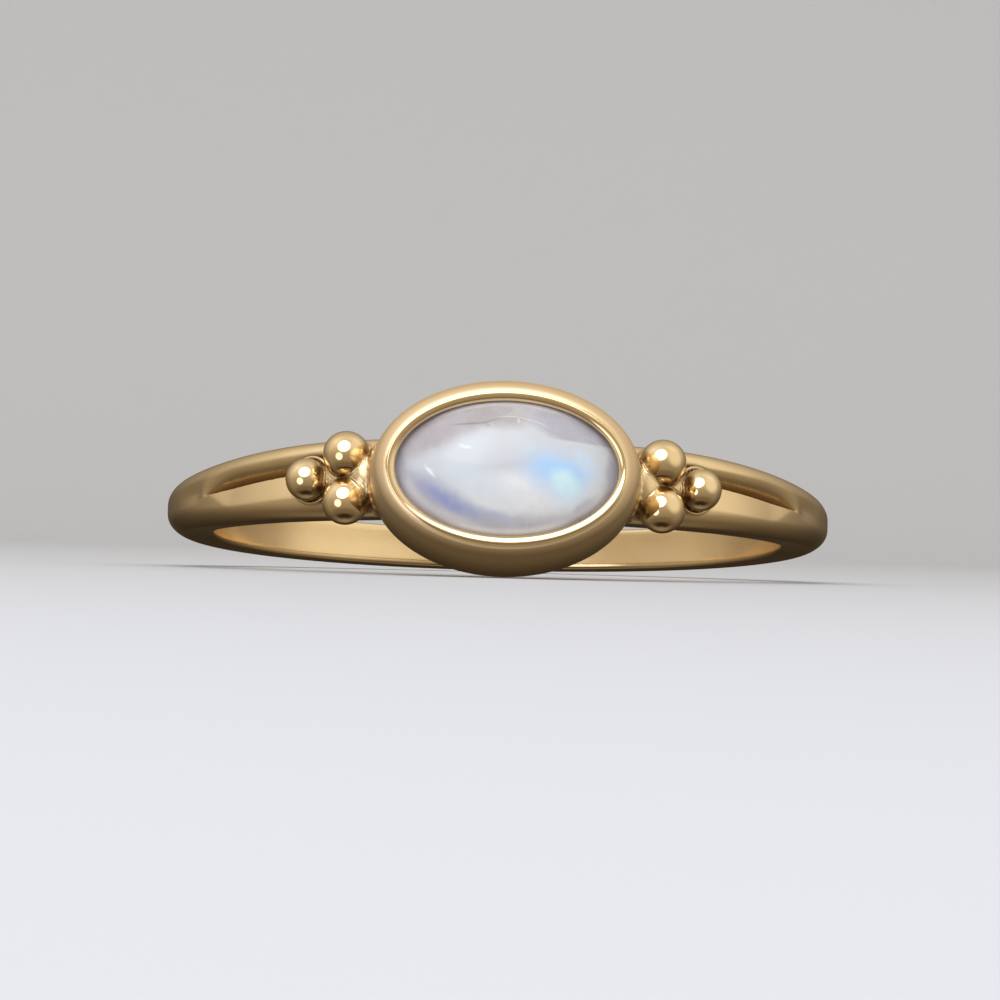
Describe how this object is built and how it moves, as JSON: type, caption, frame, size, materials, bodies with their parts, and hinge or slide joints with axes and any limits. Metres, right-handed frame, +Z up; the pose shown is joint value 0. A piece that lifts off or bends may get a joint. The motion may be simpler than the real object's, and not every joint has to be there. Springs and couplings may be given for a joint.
{
  "type": "moonstone ring",
  "caption": "Yellow gold finger ring: a domed oval moonstone in a smooth bezel, gold granules beside it, and grooved shoulders that join in a plain band.",
  "frame": {"origin": "middle of the ring's box, on the level surface that it lies on", "axes": "+Z up from that surface, -Y towards the face of the stone, +X to the right when looking at the stone"},
  "size_m": [0.021, 0.0246, 0.0059],
  "materials": {
    "gold": "polished yellow gold, satin on the rim of the bezel",
    "moonstone": "polished, milky with a blue sheen"
  },
  "bodies": {
    "root": {"gold_ring": "gold", "moonstone": "moonstone"}
  },
  "joints": []
}
